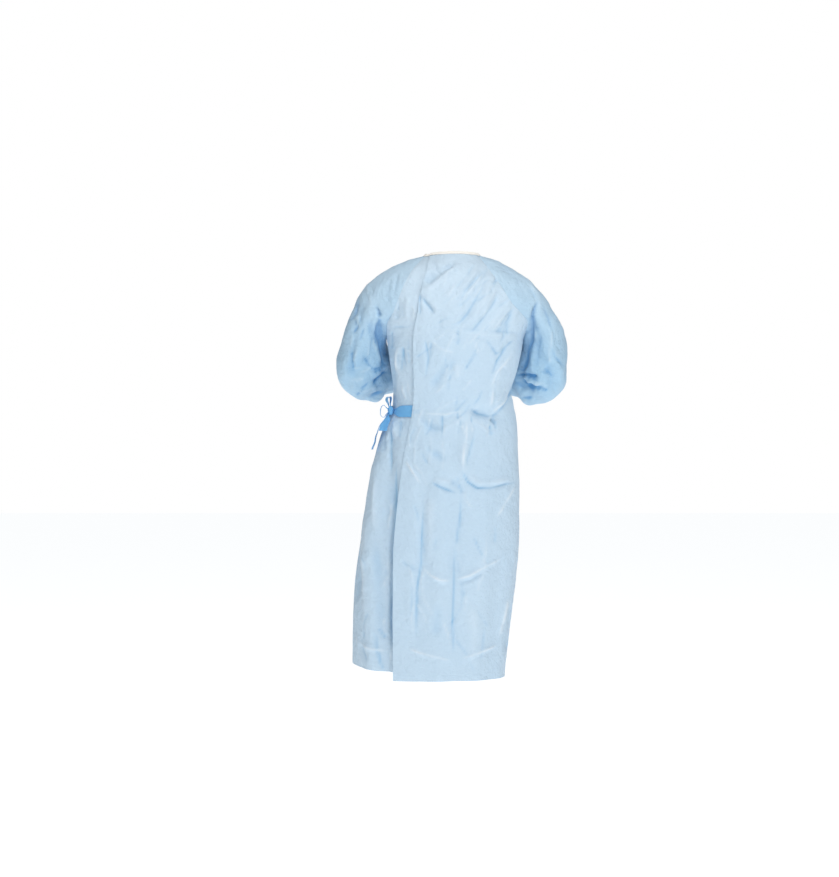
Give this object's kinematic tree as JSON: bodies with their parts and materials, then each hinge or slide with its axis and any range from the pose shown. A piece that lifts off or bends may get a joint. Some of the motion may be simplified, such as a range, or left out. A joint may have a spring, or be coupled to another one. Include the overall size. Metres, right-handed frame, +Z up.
{
  "type": "surgical gown",
  "caption": "Pale blue wrap-around surgical gown with raglan sleeves, knitted cuffs, bound neck and a waist tie bowed at the left side.",
  "frame": {"origin": "middle of the neck opening, level with the nape of the wearer's neck", "axes": "+Z up, +Y the way the wearer faces, +X towards the wearer's right; the wrapped back looks along -Y"},
  "size_m": [0.643, 0.4887, 1.1656],
  "materials": {
    "gown_cloth": "matt pale blue nonwoven",
    "sleeve_cloth": "matt light blue nonwoven, a little deeper and smoother than the body",
    "tie_cloth": "matt mid blue nonwoven",
    "binding_tape": "matt cream tape",
    "cuff_knit": "white ribbed knit"
  },
  "bodies": {
    "root": {"front_panel": "gown_cloth", "back_panel_outer": "gown_cloth", "back_panel_under": "gown_cloth", "sleeve_right": "sleeve_cloth", "sleeve_left": "sleeve_cloth", "cuff_right": "cuff_knit", "cuff_left": "cuff_knit", "neck_binding": "binding_tape", "tie_back": "tie_cloth", "tie_front": "tie_cloth", "bow_knot": "tie_cloth", "bow_loop_left": "tie_cloth", "bow_loop_top": "tie_cloth", "bow_end_wide": "tie_cloth", "bow_end_narrow": "tie_cloth"}
  },
  "joints": []
}
